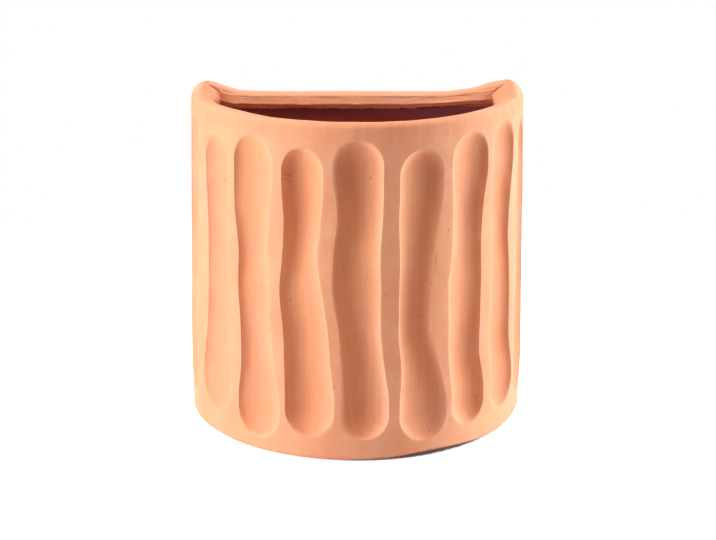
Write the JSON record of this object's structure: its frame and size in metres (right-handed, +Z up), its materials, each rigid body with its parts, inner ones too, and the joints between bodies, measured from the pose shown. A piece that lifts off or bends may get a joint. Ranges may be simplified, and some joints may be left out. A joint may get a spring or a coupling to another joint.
{
  "type": "wall planter",
  "caption": "Half-round terracotta wall planter with a flat back, raised rounded back corners and wavy upright gouged flutes round its front.",
  "frame": {"origin": "centre of the footprint's bounding box, on the surface the planter can stand on", "axes": "+Z up; +Y out of the flat back towards the wall it hangs on; the half round faces -Y; +X to the right of someone facing the planter"},
  "size_m": [0.224, 0.112, 0.2296],
  "materials": {
    "terracotta": "matte, unglazed"
  },
  "bodies": {
    "root": {"front_wall": "terracotta", "back_panel": "terracotta", "floor_slab": "terracotta", "corner_coil_left": "terracotta", "corner_coil_right": "terracotta", "back_rim_strip": "terracotta"}
  },
  "joints": []
}
